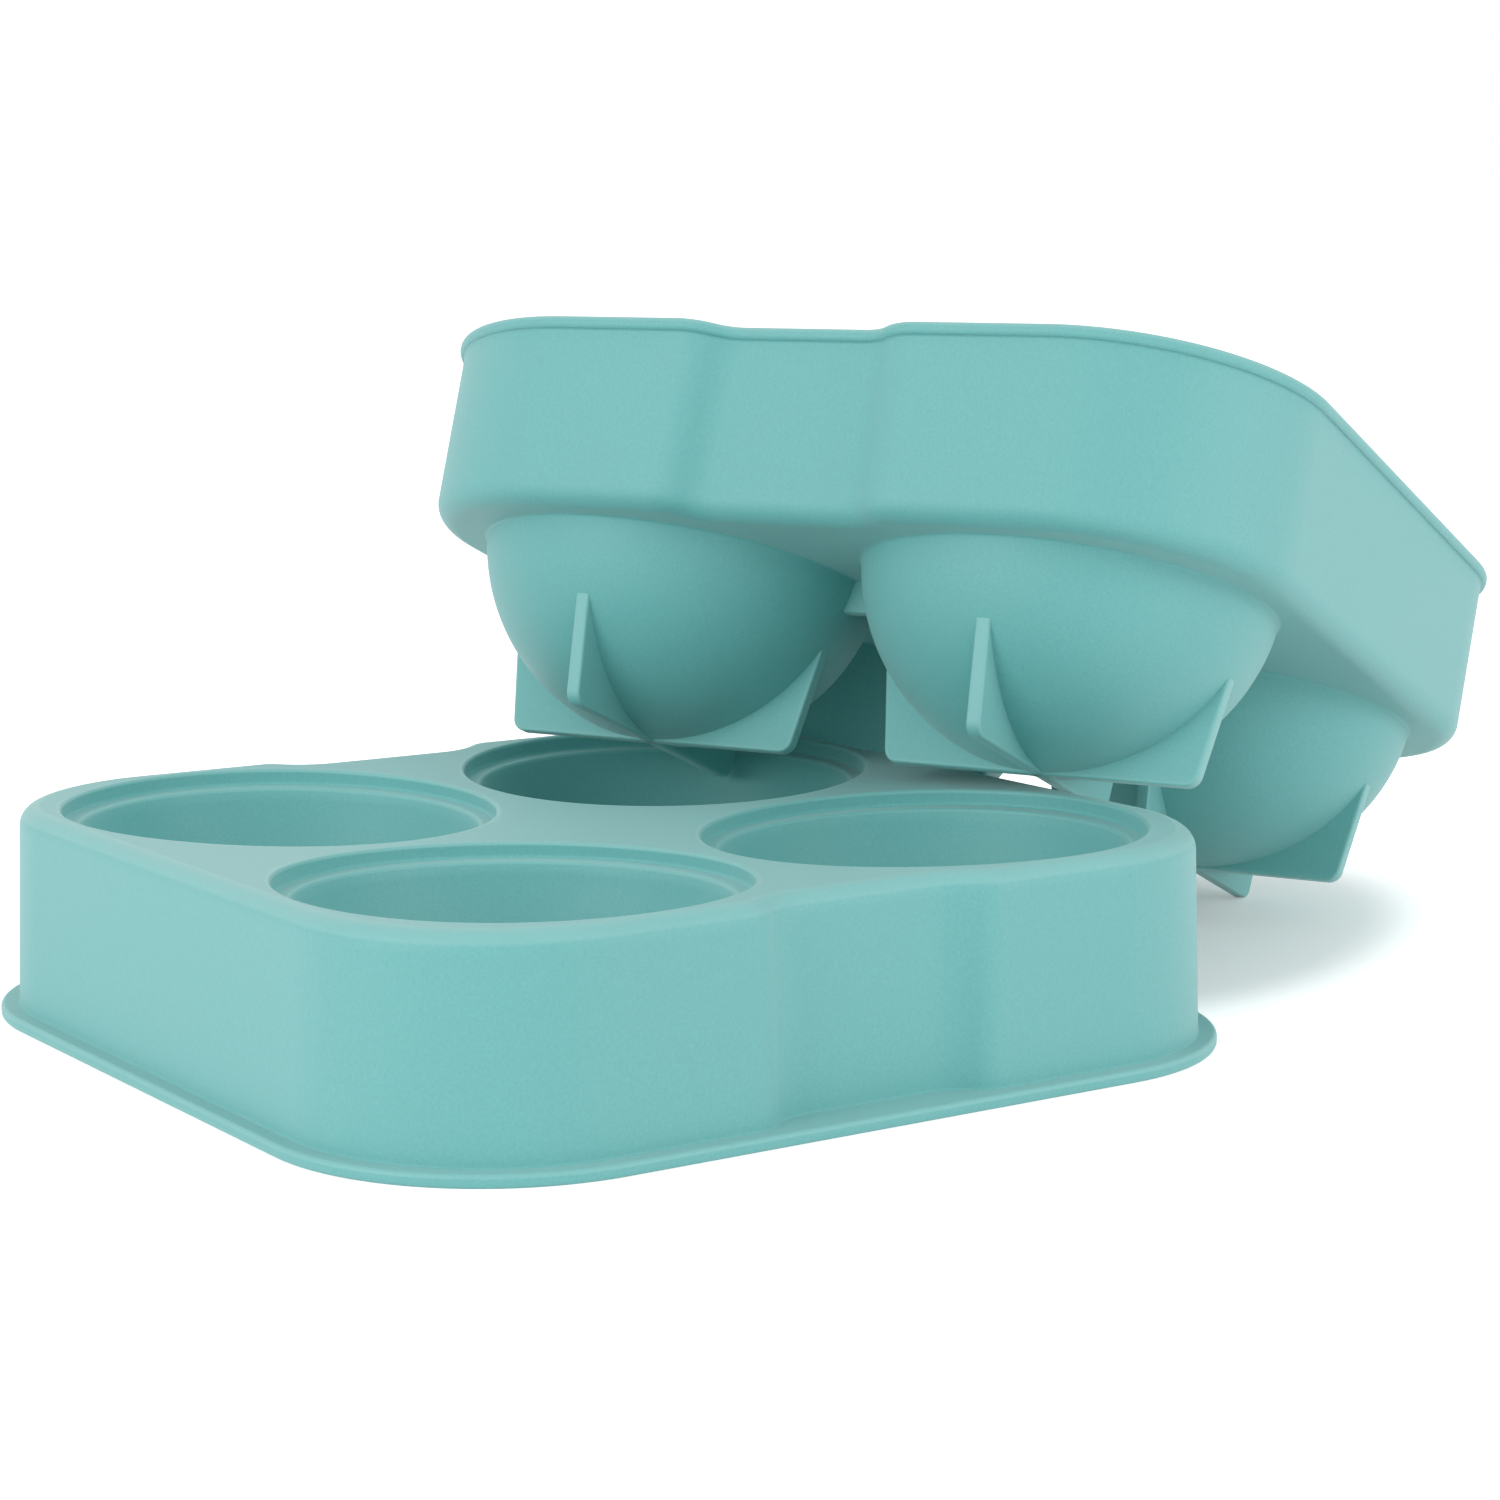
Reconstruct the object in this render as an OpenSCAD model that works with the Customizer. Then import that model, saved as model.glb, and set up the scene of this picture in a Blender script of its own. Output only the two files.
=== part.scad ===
// Ice ball mold for four balls: two soft silicone halves, shown taken apart.
// The lid half lies on its flange with its mouths up, centred on the origin, +Z up, in millimetres.
// The base tray leans on it: one of its feet hangs in the lid's back mouth, its back feet stand on the table.
// Closed, the lid is turned over and nests inside the tray, and each tray ring fills a step of the lid.

/* [Ice balls] */
// Diameter of one ice ball
ball_d = 47; // [42:0.5:52]
// Gap between neighbouring balls
ball_gap = 7.3; // [6.6:0.1:11]

/* [Seal] */
// Width of the step round each mouth of the lid
step_w = 2; // [1.4:0.1:2.4]
// Depth of the step, and height of the tray ring that fills it
step_d = 2; // [1:0.1:2.5]
// Play between a ring and its step
seal_play = 0.2; // [0.1:0.05:0.5]

/* [Outline] */
// Rim of the lid outside the steps, at the parting face
rim_w = 3.05; // [2.6:0.05:6]
// Corner radius of the lid at the parting face
corner_r = 23; // [16:0.5:27]
// Draft of the lid's wall and of the tray's wall inside, in degrees
draft = 1.8; // [0.5:0.1:3]
// Play between the lid's wall and the tray's wall when they are nested
nest_play = 0.2; // [0.1:0.05:0.6]

/* [Finger recesses] */
// Length of a recess's flat floor
recess_l = 18.8; // [12:0.2:26]
// Depth of a recess
recess_d = 3.1; // [1.5:0.1:3.6]
// Tightest bend in the shoulders of a recess
shoulder_r = 0.6; // [0.3:0.05:1.5]

/* [Cups] */
// Wall of a cup
cup_wall = 2.3; // [1.6:0.1:3]
// Blend of a tray cup into the tray's deck
cup_blend = 1; // [0.6:0.1:1.2]

/* [Lid half] */
// Thickness of the crown over a ball
crown_t = 1.1; // [0.8:0.1:3]
// Height of the crown above the face that the lid lies on
crown_lift = 0.4; // [0.2:0.1:2]
// Diameter of the fill hole in a crown
fill_d = 6; // [4:0.5:10]
// Thickness of the lid's wall
lid_wall = 2; // [1.6:0.1:2.6]
// Thickness of the lid's deck
lid_deck = 4; // [3.2:0.1:6]
// Thickness of the lid's flange
lid_flange_t = 2; // [1.4:0.1:3]
// Width of the lid's flange outside its wall
lid_lip = 2.1; // [1.2:0.1:4]
// Rounding of the lid's parting edge
lid_edge_r = 1.9; // [0.8:0.1:2]

/* [Base tray] */
// Thickness of the tray's wall at its flange
tray_wall = 1.35; // [1:0.05:2.5]
// Draft of the tray's wall outside, in degrees
tray_draft = 1; // [0:0.1:1.5]
// Thickness of the tray's deck
tray_deck = 4.4; // [3.6:0.1:6]
// Thickness of the tray's flange
tray_flange_t = 1.6; // [1:0.1:2.4]
// Width of the tray's flange outside its wall
tray_lip = 0.7; // [0.4:0.1:3]
// Rounding of the tray's lower edge
tray_edge_r = 3.8; // [2:0.1:4]
// Gap between the two flanges when the mold is closed
flange_gap = 2.7; // [0.5:0.1:5]

/* [Feet] */
// Thickness of the feet and of the webs between cups
foot_t = 2; // [1.4:0.1:3]
// Drop of the feet below the cups
foot_drop = 0.2; // [0.1:0.1:2]
// How far a foot reaches from its cup's axis at the bottom
foot_reach = 20.4; // [16:0.2:21]
// How much farther a foot reaches where it leaves the cup
foot_flare = 2.3; // [0.5:0.1:2.6]
// Rounding of a foot's lower corner
foot_corner_r = 1.8; // [0.5:0.1:3]
// Depth of the webs below the tray's deck
web_h = 3.5; // [1:0.1:6]

/* [Resting pose] */
// Turn of the tray about the upright, in degrees
tray_turn = -63.5; // [-66:0.5:-61]
// Gap where the leaning tray rests on the lid's rim
seat_gap = 0.4; // [0.3:0.05:0.8]
// Gap between the hooked foot and the lid's step
hook_gap = 0.5; // [0.3:0.05:1]
// Offset of the hooked foot from the middle of its mouth
hook_side = 3; // [0:0.25:5]

/* [Hidden] */
$fn = 96;
silicone = [0.49, 0.77, 0.76];

// Overlap between solids that are joined, and overrun of cuts
lap = 0.5;
overrun = 1;
// How far a blend's round crosses the faces that it joins
bite = 0.03;
// Steps in a corner of the outline, in a recess's bends, in a rounded edge and in a flange's rim
corner_steps = 15;
bend_steps = 5;
edge_steps = 5;
rim_steps = 3;
// Rounds in which the leaning tray settles
settle_rounds = 5;

// Balls and lid outline
ball_r = ball_d / 2;
spacing = (ball_d + ball_gap) / 2;
step_r = ball_r + step_w;
cup_r = ball_r + cup_wall;
half_w = spacing + step_r + rim_w;
corner_at = half_w - corner_r;
lid_h = ball_r + crown_t + crown_lift;
lid_spread = lid_h * tan(draft);
lid_edge = min(lid_edge_r, lid_wall);
ledge_r = sqrt(ball_r * ball_r - step_d * step_d);

// Tray wall, as offsets from the lid's outline, with the deck's upper face at zero height
tray_h = lid_h - lid_flange_t - flange_gap;
tray_in_low = nest_play;
tray_in_top = tray_in_low + tray_h * tan(draft);
tray_out_top = tray_in_top + tray_wall;
tray_out_low = tray_out_top - (tray_h + tray_deck) * tan(tray_draft);
tray_edge_at = tray_out_low - tray_edge_r * (1 - sin(tray_draft)) / cos(tray_draft);
tray_reach = tray_out_top + tray_lip;

// Recess shoulders: a bulging bend and a hollow bend that run into each other
bulge_r = max(lid_wall, -tray_edge_at) + shoulder_r;
hollow_r = max(tray_reach, lid_spread) + shoulder_r;
shoulder_a = acos(1 - recess_d / (bulge_r + hollow_r));
recess_half = recess_l / 2;
shoulder_at = recess_half + (bulge_r + hollow_r) * sin(shoulder_a);

// Feet
foot_low = cup_r + foot_drop;
flare_top = sqrt(cup_r * cup_r - pow(foot_reach + foot_flare, 2));
flare_slope = foot_flare / (foot_low - flare_top);
flare_a = atan(flare_slope);

// Leaning tray: its front feet clear the lid's deck by lift, its back feet touch the table
turn_x = [cos(tray_turn), sin(tray_turn)];
turn_y = [-sin(tray_turn), cos(tray_turn)];
foot_tip = foot_reach - foot_corner_r * (1 - sin(flare_a)) / cos(flare_a);
function lean(lift) =
    let (run_y = 2 * spacing + foot_tip)
    asin((lid_h + lift - foot_corner_r) / norm([run_y, foot_corner_r])) + atan(foot_corner_r / run_y);
function hook_reach(lift, tilt) =
    let (up = (foot_reach * sin(tilt) - lift - step_d) / (cos(tilt) - flare_slope * sin(tilt)))
    (foot_reach + flare_slope * up) * cos(tilt) + up * sin(tilt);
function hook_at(lift, tilt) =
    let (free_r = ledge_r - hook_gap, aside = hook_side + foot_t / 2)
    let (ahead = sqrt(free_r * free_r - aside * aside) - hook_reach(lift, tilt))
    [spacing, spacing] + ahead * turn_y - hook_side * turn_x;
function lift_over_rim(lift, tilt) =
    let (fall = tan(tilt) / turn_y[0])
    let (seat_x = hook_at(lift, tilt)[0] + (2 * spacing - foot_t / 2) * turn_x[0])
    seat_gap + fall * (half_w - lid_edge - seat_x) + lid_edge * (sqrt(1 + fall * fall) - 1);
function settle(rounds, lift) =
    rounds == 0 ? lift : settle(rounds - 1, max(seat_gap, lift_over_rim(lift, lean(lift))));
tray_lift = settle(settle_rounds, seat_gap);
tray_tilt = lean(tray_lift);
hook_foot = hook_at(tray_lift, tray_tilt);
tray_ahead = spacing * cos(tray_tilt) + foot_low * sin(tray_tilt);
tray_xy = hook_foot + spacing * turn_x + tray_ahead * turn_y;
tray_z = lid_h + tray_lift + foot_low * cos(tray_tilt) - spacing * sin(tray_tilt);

// Points along an arc
function arc(centre, radius, from, to, steps) =
    [for (i = [0 : steps])
        let (a = from + (to - from) * i / steps)
        centre + radius * [cos(a), sin(a)]];

// Half of the recessed outline, moved outward by grow
function half_outline(grow) =
    let (bulge_y = half_w - bulge_r, hollow_y = half_w - recess_d + hollow_r)
    let (bulge = bulge_r + grow, hollow = hollow_r - grow)
    concat(
        arc([corner_at, corner_at], corner_r + grow, 0, 90, corner_steps),
        arc([shoulder_at, bulge_y], bulge, 90, 90 + shoulder_a, bend_steps),
        arc([recess_half, hollow_y], hollow, shoulder_a - 90, -90, bend_steps),
        arc([-recess_half, hollow_y], hollow, -90, -90 - shoulder_a, bend_steps),
        arc([-shoulder_at, bulge_y], bulge, 90 - shoulder_a, 90, bend_steps),
        arc([-corner_at, corner_at], corner_r + grow, 90, 180, corner_steps));

function outline(grow) =
    let (side = half_outline(grow))
    concat(side, [for (p = side) -p]);

// Shell whose skin runs through the outline at each [grow, height] of a profile
// Strips from edge to edge across the outline close both ends flat
module shell(profile) {
    count = len(outline(0));
    last = (len(profile) - 1) * count;
    points = [for (ring = profile, p = outline(ring[0])) [p[0], p[1], ring[1]]];
    bands = [for (base = [0 : count : last - count], i = [0 : count - 1])
        let (next = (i + 1) % count)
        [base + i, base + count + i, base + count + next, base + next]];
    strips = [for (i = [0 : count / 2 - 2]) [i, i + 1, count - 2 - i, count - 1 - i]];
    upper_end = [for (strip = strips) [for (i = [3 : -1 : 0]) last + strip[i]]];
    polyhedron(points, concat(strips, bands, upper_end));
}

module at_cavities() {
    for (x = [-spacing, spacing], y = [-spacing, spacing])
        translate([x, y, 0])
            children();
}

// Half section of a bowl that hangs below its centre, from a flat bottom up to a flat top
module bowl(radius, bottom, top) {
    intersection() {
        circle(radius);
        translate([0, bottom])
            square([radius, top - bottom]);
    }
}

// Lid half

// Up the wall inside, across its foot and up outside to the rounded parting edge
module lid_shell() {
    edge_x = -lid_edge * (1 - sin(draft)) / cos(draft);
    shell(concat(
        [[lid_deck * tan(draft) - lid_wall, lid_h - lid_deck],
            [lid_spread - lid_wall, 0],
            [lid_spread, 0]],
        arc([edge_x, lid_h - lid_edge], lid_edge, draft, 90, edge_steps)));
}

// Flange with a round edge and straight sides, open inside the wall
module lid_flange() {
    inner = corner_r + lid_spread - lid_wall / 2;
    bead_x = corner_r + lid_spread + lid_lip - lid_flange_t / 2;
    for (side = [0 : 3])
        rotate([0, 0, 90 * side])
            translate([corner_at, corner_at, 0]) {
                rotate_extrude(angle = 90)
                    flange_profile(inner, bead_x);
                rotate([90, 0, 0])
                    linear_extrude(2 * corner_at)
                        flange_profile(inner, bead_x);
            }
}

module flange_profile(inner, bead_x) {
    translate([inner, 0])
        square([bead_x - inner, lid_flange_t]);
    translate([bead_x, lid_flange_t / 2])
        circle(d = lid_flange_t);
}

// The flange crosses each recess as a straight ledge to pull the lid open by
module pull_ledges() {
    depth = recess_d + lid_wall;
    for (side = [0, 180])
        rotate([0, 0, side])
            linear_extrude(lid_flange_t)
                difference() {
                    translate([-shoulder_at, half_w - depth])
                        square([2 * shoulder_at, depth]);
                    polygon(outline(lid_spread - lid_wall / 2));
                }
}

module lid_cup() {
    rotate_extrude()
        translate([0, lid_h])
            bowl(cup_r, crown_lift - lid_h, -lid_deck / 2);
}

module lid_cavity() {
    rotate_extrude() {
        translate([0, lid_h])
            bowl(ball_r, -ball_r, 0);
        translate([0, lid_h - step_d])
            square([step_r, step_d + overrun]);
        square([fill_d / 2, lid_h]);
    }
}

module lid_half() {
    color(silicone)
        difference() {
            union() {
                lid_shell();
                lid_flange();
                pull_ledges();
                at_cavities()
                    lid_cup();
            }
            at_cavities()
                lid_cavity();
        }
}

// Base tray

// Round the lower edge, up the wall to the flange's round rim and down inside to the deck
module tray_shell() {
    edge = [tray_edge_at, tray_edge_r - tray_deck];
    rim_r = min(tray_lip, tray_flange_t / 2);
    rim_x = tray_reach - rim_r;
    flange_z = tray_h - tray_flange_t;
    shell(concat(
        arc(edge, tray_edge_r, -90, -tray_draft, edge_steps),
        [[tray_out_top - tray_flange_t * tan(tray_draft), flange_z]],
        arc([rim_x, flange_z + rim_r], rim_r, -90, 0, rim_steps),
        arc([rim_x, tray_h - rim_r], rim_r, 0, 90, rim_steps),
        [[tray_in_top, tray_h], [tray_in_low, 0]]));
}

// Cup below the deck and seal ring above it, blended into the deck's lower face
module tray_cup() {
    blend_z = bite - tray_deck - cup_blend;
    blend_at = cup_r + cup_blend - bite;
    blend_x = sqrt(blend_at * blend_at - blend_z * blend_z);
    root = [blend_x, blend_z] * (cup_r - lap) / blend_at;
    rotate_extrude() {
        bowl(cup_r, -cup_r, -tray_deck / 2);
        translate([0, -tray_deck / 2])
            square([step_r - seal_play, tray_deck / 2 + step_d]);
        difference() {
            polygon([
                root,
                [blend_x, blend_z],
                [blend_x, lap - tray_deck],
                [root[0], lap - tray_deck]]);
            translate([blend_x, blend_z])
                circle(cup_blend);
        }
    }
}

// Upright plate across a cup, whose two ends are feet
module foot_plate() {
    corner_z = foot_corner_r - foot_low;
    tip = foot_corner_r * [cos(flare_a), -sin(flare_a)];
    wide = foot_reach + foot_flare;
    rotate([90, 0, 0])
        translate([0, 0, -foot_t / 2])
            linear_extrude(foot_t)
                for (flip = [0, 1])
                    mirror([flip, 0]) {
                        polygon([
                            [0, -foot_low],
                            [foot_tip, -foot_low],
                            [foot_tip, corner_z] + tip,
                            [wide, -flare_top],
                            [0, -flare_top]]);
                        translate([foot_tip, corner_z])
                            circle(foot_corner_r);
                    }
}

// Web along a row of cups, just under the deck
module web() {
    translate([-spacing, -foot_t / 2, -tray_deck - web_h])
        cube([2 * spacing, foot_t, web_h + tray_deck / 2]);
}

module base_tray() {
    color(silicone)
        translate([tray_xy[0], tray_xy[1], tray_z])
            rotate([0, 0, tray_turn])
                rotate([-tray_tilt, 0, 0])
                    difference() {
                        union() {
                            tray_shell();
                            at_cavities() {
                                tray_cup();
                                foot_plate();
                                rotate([0, 0, 90])
                                    foot_plate();
                            }
                            for (side = [0 : 3])
                                rotate([0, 0, 90 * side])
                                    translate([0, spacing, 0])
                                        web();
                        }
                        at_cavities()
                            sphere(ball_r);
                    }
}

lid_half();
base_tray();
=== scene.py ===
"""Dresses the ice ball mold: soft skins for its two halves, a studio stage and the camera."""

import math
from types import SimpleNamespace

import bmesh
import bpy
import numpy as np
from bpy.props import FloatProperty, FloatVectorProperty, IntProperty, PointerProperty
from mathutils import Matrix, Vector


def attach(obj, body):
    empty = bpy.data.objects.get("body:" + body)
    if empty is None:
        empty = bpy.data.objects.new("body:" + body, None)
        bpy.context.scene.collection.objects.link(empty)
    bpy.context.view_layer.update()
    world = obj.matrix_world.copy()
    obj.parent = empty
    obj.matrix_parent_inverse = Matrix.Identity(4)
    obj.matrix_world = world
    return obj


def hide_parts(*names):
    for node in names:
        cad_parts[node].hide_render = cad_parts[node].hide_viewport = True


bl_info = {
    "name": "Ice Ball Mold",
    "version": (1, 0, 0),
    "blender": (4, 5, 0),
    "location": "View3D > Sidebar > Mold",
    "description": "Builds the two silicone halves of an ice ball mold and its studio stage",
    "category": "Add Mesh",
}

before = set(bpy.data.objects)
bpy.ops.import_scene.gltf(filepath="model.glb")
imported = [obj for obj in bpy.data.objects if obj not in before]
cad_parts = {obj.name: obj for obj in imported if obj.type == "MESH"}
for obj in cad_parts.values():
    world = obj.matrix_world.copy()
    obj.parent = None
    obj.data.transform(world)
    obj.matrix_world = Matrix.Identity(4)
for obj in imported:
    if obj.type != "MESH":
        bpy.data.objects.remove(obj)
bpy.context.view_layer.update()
MM = 0.001


# Properties


def length(name, description, millimetres):
    """A length property whose default is given in millimetres."""
    return FloatProperty(
        name=name,
        description=description,
        default=millimetres * MM,
        min=0.0,
        precision=5,
        subtype="DISTANCE",
        unit="LENGTH",
    )


def angle(name, description, degrees):
    """An angle property whose default is given in degrees."""
    return FloatProperty(
        name=name,
        description=description,
        default=math.radians(degrees),
        subtype="ANGLE",
        unit="ROTATION",
    )


def spot(name, description, metres):
    """A place in metres."""
    return FloatVectorProperty(
        name=name,
        description=description,
        default=metres,
        precision=5,
        subtype="TRANSLATION",
        unit="LENGTH",
    )


def colour(name, description, rgb):
    """A colour property in linear light."""
    return FloatVectorProperty(
        name=name,
        description=description,
        default=rgb,
        min=0.0,
        max=1.0,
        subtype="COLOR",
    )


def share(name, description, value):
    """A property between nought and one."""
    return FloatProperty(
        name=name,
        description=description,
        default=value,
        min=0.0,
        max=1.0,
        subtype="FACTOR",
    )


def amount(name, description, value):
    """A plain number that isn't negative."""
    return FloatProperty(name=name, description=description, default=value, min=0.0)


class CavitySizes(bpy.types.PropertyGroup):
    """Sizes that both halves share."""

    ball_d: length("Ball", "Diameter of one ice ball", 47)
    ball_gap: length("Ball gap", "Gap between neighbouring balls", 7.3)
    step_w: length("Step width", "Width of the step round each mouth of the lid", 2)
    step_d: length("Step depth", "Depth of the step and height of a tray ring", 2)
    seal_play: length("Seal play", "Play between a ring and its step", 0.2)
    rim_w: length("Rim", "Rim of the lid outside the steps", 3.05)
    corner_r: length("Corner", "Corner radius at the parting face", 23)
    draft: angle("Draft", "Draft of the lid's wall and of the tray's wall inside", 1.8)
    recess_l: length("Recess length", "Length of a finger recess's flat floor", 16)
    recess_d: length("Recess depth", "Depth of a finger recess", 3.1)
    bulge_r: length("Bulge", "Radius of a recess's bulging bends", 4.2)
    hollow_r: length("Hollow", "Radius of a recess's hollow bends", 8)
    cup_wall: length("Cup wall", "Wall of a cup", 2.3)
    soft_edge: length("Soft edge", "Rounding of the mouths, steps and rings", 0.45)


class LidSizes(bpy.types.PropertyGroup):
    """Sizes of the lid half."""

    height: length("Height", "Height of the lid as it lies", 25)
    crown_lift: length("Crown lift", "Height of the crowns above the table", 0.4)
    fill_d: length("Fill hole", "Diameter of the fill hole in a crown", 6)
    wall: length("Wall", "Thickness of the lid's wall", 2)
    deck: length("Deck", "Thickness of the lid's deck", 4)
    flange_t: length("Flange", "Thickness of the lid's flange", 1.5)
    lip: length("Lip", "Width of the flange outside the wall", 2.1)
    bead_r: length("Bead", "Rounding of the flange's outer edges", 0.5)
    root_r: length("Root", "Rounding where the wall meets the flange", 0.15)
    edge_r: length("Parting edge", "Rounding of the parting edge", 2.4)
    deck_root_r: length("Deck root", "Rounding under the deck", 0.5)
    sag: length("Sag", "How far the soft deck sags in its middle", 1.6)


class TraySizes(bpy.types.PropertyGroup):
    """Sizes and resting place of the base tray."""

    height: length("Height", "Height of the wall above the deck", 20.3)
    nest_play: length("Nest play", "Play between the nested walls", 0.2)
    wall: length("Wall", "Thickness of the wall at the flange", 1.35)
    outer_draft: angle("Outer draft", "Draft of the wall outside", 1)
    deck: length("Deck", "Thickness of the tray's deck", 3.4)
    deck_root_r: length("Deck root", "Rounding between the deck and the wall inside", 0.7)
    flange_t: length("Flange", "Thickness of the tray's flange", 1.6)
    lip: length("Lip", "Width of the flange outside the wall", 0.7)
    lip_root_r: length("Lip root", "Rounding under the flange", 0.3)
    ring_root_r: length("Ring root", "Rounding at the foot of a seal ring", 0.4)
    edge_r: length("Lower edge", "Rounding of the lower edge", 2.8)
    cup_blend: length("Cup blend", "Blend of a cup into the deck", 0.4)
    turn: angle("Turn", "Turn of the tray about the upright", -63.5)
    tilt: angle("Tilt", "Tilt of the leaning tray", 21.4313)
    place: spot(
        "Place", "Where the middle of the tray's deck rests", (0.0703165, 0.0216868, 0.041144)
    )


class FootSizes(bpy.types.PropertyGroup):
    """Sizes of the feet under the tray's cups and of the webs between the cups."""

    thickness: length("Thickness", "Thickness of the feet and the webs", 1.8)
    drop: length("Drop", "Drop of the feet below the cups", 0.2)
    reach: length("Reach", "Reach of a foot from its cup's axis", 20.4)
    flare: length("Flare", "How much farther a foot reaches at its cup", 2.3)
    corner_r: length("Corner", "Rounding of a foot's lower corner", 1.8)
    web_h: length("Web", "Depth of the webs below the deck", 4.1)
    web_cover: length("Web cover", "Wall of a cup that is left behind a web's end", 0.45)
    edge_r: length("Edge", "Rounding along the edges of the plates", 0.3)
    copies: IntProperty(
        name="Copies", description="Cups, and webs, round the tray", default=4, min=1
    )


class SiliconeLook(bpy.types.PropertyGroup):
    """Colours and finish of the silicone."""

    body: colour("Body", "Colour of its paler grains", (0.172, 0.532, 0.522))
    deep: colour("Deep", "Colour of its darker grains", (0.133, 0.444, 0.436))
    # Colour of the paler edges: part wear, part painted highlight.
    wear_and_highlight_colour: colour("Rubbed", "Colour along worn edges", (0.235, 0.565, 0.550))
    roughness: share("Roughness", "Mean roughness of the matte skin", 0.56)
    clouds: amount("Clouds", "Colour clouds in a metre", 34)
    grain: amount("Grain", "Grains of the mould in a metre", 3000)
    pores: amount("Pores", "Pores in a metre", 9300)
    relief: length("Relief", "Height of the grain", 0.06)


class StageLook(bpy.types.PropertyGroup):
    """Camera, floor and light."""

    eye: spot("Eye", "Where the camera stands", (-0.20719, -0.33364, 0.09287))
    aim: FloatVectorProperty(
        name="Aim",
        description="Direction in which the camera looks",
        default=(0.559, 0.815, -0.153),
        subtype="DIRECTION",
    )
    lens: amount("Lens", "Focal length in millimetres", 82.08)
    floor_half: length("Floor half", "Half of the floor's side", 6000)
    floor_tone: colour("Floor", "Colour of the floor", (0.9, 0.9, 0.9))
    tooth_tone: colour("Tooth tone", "Colour of the floor's paler specks", (0.92, 0.92, 0.92))
    tooth: amount("Tooth", "Specks of the floor in a metre", 900)
    heart: spot("Heart", "Middle of the shadow that the floor keeps", (0.092, -0.002, 0.0))
    shadow_turn: angle("Shadow turn", "Turn of that shadow on the floor", 30.8)
    shadow_size: FloatVectorProperty(
        name="Shadow size",
        description="Half of that shadow's length and width",
        size=2,
        default=(0.055, 0.026),
        min=0.001,
        precision=4,
        unit="LENGTH",
    )
    shadow_from: amount("Shadow from", "Where that shadow starts to fade, as a share of it", 0.7)
    shadow_to: amount("Shadow to", "Where that shadow has faded, as a share of it", 1.2)
    shadow_lift: share("Shadow lift", "Glow of the floor within that shadow", 0.2)
    floor_lift: share("Floor lift", "Glow of the floor away from it", 0.62)
    dome: amount("Dome", "Strength of the light all round", 0.73)
    left: amount("Left", "Power of the large lamp at the left", 3.0)
    left_spot: spot("Left spot", "Where the left lamp stands", (-0.95, -0.1, 0.35))
    right: amount("Right", "Power of the large lamp at the right", 2.6)
    right_spot: spot("Right spot", "Where the right lamp stands", (0.55, -0.9, 0.35))
    lamp_size: length("Lamp size", "Diameter of each lamp", 700)
    lamp_aim: spot("Lamp aim", "Where the lamps point", (0.03, 0.02, 0.03))


def in_millimetres(group):
    """The plain lengths of a property group, in millimetres."""
    lengths = [p for p in group.bl_rna.properties if p.unit == "LENGTH" and not p.is_array]
    return SimpleNamespace(**{p.identifier: getattr(group, p.identifier) / MM for p in lengths})


# Node trees


class Value:
    """A number that comes out of a socket. An expression on it adds Math nodes."""

    def __init__(self, tree, socket):
        self.tree = tree
        self.socket = socket

    def __add__(self, other):
        return self.tree.math("ADD", self, other)

    def __radd__(self, other):
        return self.tree.math("ADD", other, self)

    def __sub__(self, other):
        return self.tree.math("SUBTRACT", self, other)

    def __rsub__(self, other):
        return self.tree.math("SUBTRACT", other, self)

    def __mul__(self, other):
        return self.tree.math("MULTIPLY", self, other)

    def __rmul__(self, other):
        return self.tree.math("MULTIPLY", other, self)

    def __truediv__(self, other):
        return self.tree.math("DIVIDE", self, other)

    def __rtruediv__(self, other):
        return self.tree.math("DIVIDE", other, self)


class Tree:
    """A node tree that is filled from empty."""

    def __init__(self, tree):
        self.tree = tree
        tree.nodes.clear()

    def node(self, kind, settings=None, sockets=None):
        """A node of that kind, with its settings made first and then its sockets filled."""
        node = self.tree.nodes.new(kind)
        for key, value in (settings or {}).items():
            setattr(node, key, value)
        for key, value in (sockets or {}).items():
            socket = node.inputs[key]
            if isinstance(value, Value):
                value = value.socket
            if isinstance(value, bpy.types.NodeSocket):
                self.tree.links.new(value, socket)
            else:
                socket.default_value = value
        return node

    def value(self, kind, settings=None, sockets=None, output=0):
        """One output of a new node, ready for an expression."""
        return Value(self, self.node(kind, settings, sockets).outputs[output])

    def math(self, operation, *numbers):
        """The result of a Math node."""
        return self.value("ShaderNodeMath", {"operation": operation}, dict(enumerate(numbers)))

    def mix(self, factor, first, second):
        """A colour between two colours."""
        node = self.node(
            "ShaderNodeMix",
            {"data_type": "RGBA"},
            {"Factor": factor, 6: first, 7: second},
        )
        return node.outputs[2]


def bare_material(name):
    """A new material and its empty tree."""
    material = bpy.data.materials.new(name)
    material.use_nodes = True
    return material, Tree(material.node_tree)


def with_alpha(rgb):
    """A colour as a colour socket takes it."""
    return (*rgb, 1.0)


def background_rays(tree):
    """One for rays that show the background itself, and nought for those that carry its light."""
    path = tree.node("ShaderNodeLightPath").outputs
    seen = path["Is Camera Ray"]
    for kind in ("Is Glossy Ray", "Is Transmission Ray"):
        seen = tree.math("MAXIMUM", seen, path[kind])
    return seen


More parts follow.
